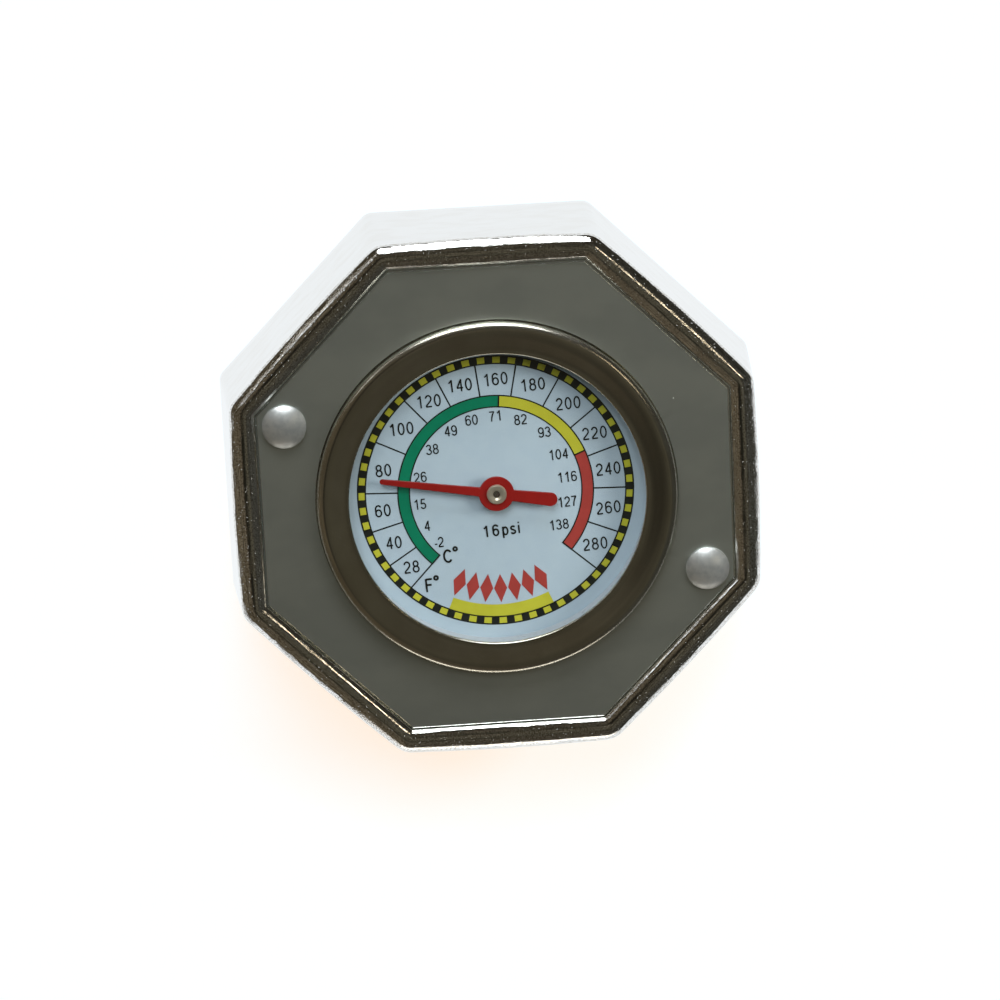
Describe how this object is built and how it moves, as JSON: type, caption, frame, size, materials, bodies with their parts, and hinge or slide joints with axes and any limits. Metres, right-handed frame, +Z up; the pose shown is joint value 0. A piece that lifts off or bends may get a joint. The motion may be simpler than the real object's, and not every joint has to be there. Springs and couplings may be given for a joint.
{
  "type": "radiator cap gauge",
  "caption": "Octagonal chromed radiator filler cap with a dial thermometer in its face and a spring-loaded pressure valve below.",
  "frame": {"origin": "centre of the pressure gasket's seat face, the bottom of the part", "axes": "+Z up the cap's axis to the dial, +Y towards the top of the dial, +X to its right"},
  "size_m": [0.079, 0.079, 0.0344],
  "materials": {
    "chrome_cast": "chromed die casting with a fine cast texture, dark brown and gold reflections",
    "face_steel": "dark satin bright-metal sheet with fine grain",
    "rivet_metal": "satin silver",
    "bezel_metal": "dark bright metal, spun",
    "glass": "clear window",
    "black_rubber": "matte black rubber",
    "seat_rubber": "moulded black rubber seat ring",
    "bright_ring": "bright spun aluminium",
    "dial_print": "bluish white enamel with a printed temperature scale in black, green, yellow and red",
    "case_steel": "drawn bright steel",
    "brass": "turned brass",
    "probe_steel": "stainless steel",
    "bimetal": "bimetal strip",
    "pointer_red": "satin red enamel",
    "pin_metal": "grey turned brass",
    "zinc_steel": "zinc plated steel with a pale yellow passivation",
    "spring_steel": "bright spring steel"
  },
  "bodies": {
    "cap": {"housing": "chrome_cast", "face_plate": "face_steel", "rivets": "rivet_metal", "dial_bezel": "bezel_metal", "lens": "glass", "lens_gasket": "black_rubber", "dial_ring": "bright_ring", "dial_plate": "dial_print", "gauge_case": "case_steel", "stem_fitting": "brass", "probe_tube": "probe_steel", "upper_bearing": "brass", "lower_guide": "brass", "coil_anchor": "probe_steel", "bimetal_coil": "bimetal", "sealing_washer": "black_rubber", "lock_washer": "zinc_steel", "stem_nut": "zinc_steel", "cap_shell": "zinc_steel", "diaphragm_disc": "spring_steel", "spring_bell": "probe_steel", "pressure_spring": "spring_steel"},
    "needle": {"shaft_collar": "probe_steel", "pointer_shaft": "probe_steel", "pointer": "pointer_red", "pointer_hub": "pin_metal"},
    "pressure_valve": {"valve_plate": "zinc_steel", "valve_gasket": "seat_rubber", "vacuum_spring": "spring_steel"},
    "vacuum": {"vacuum_valve": "brass", "vacuum_clip": "probe_steel"}
  },
  "joints": [
    {"name": "pointer_turn", "type": "hinge", "parent": "cap", "child": "needle", "pos_m": [0, 0, 0.0286], "axis": [0, 0, 1], "range_deg": [-212, 56], "stiffness_Nm_per_rad": 0.0001},
    {"name": "pressure_lift", "type": "slide", "parent": "cap", "child": "pressure_valve", "axis": [0, 0, 1], "range_m": [0, 0.0035], "stiffness_N_per_m": 2000, "springref_m": -0.004, "deforming": ["pressure_spring"]},
    {"name": "vacuum_drop", "type": "slide", "parent": "pressure_valve", "child": "vacuum", "axis": [0, 0, -1], "range_m": [0, 0.0015], "stiffness_N_per_m": 100, "springref_m": -0.003, "deforming": ["vacuum_spring"]}
  ]
}
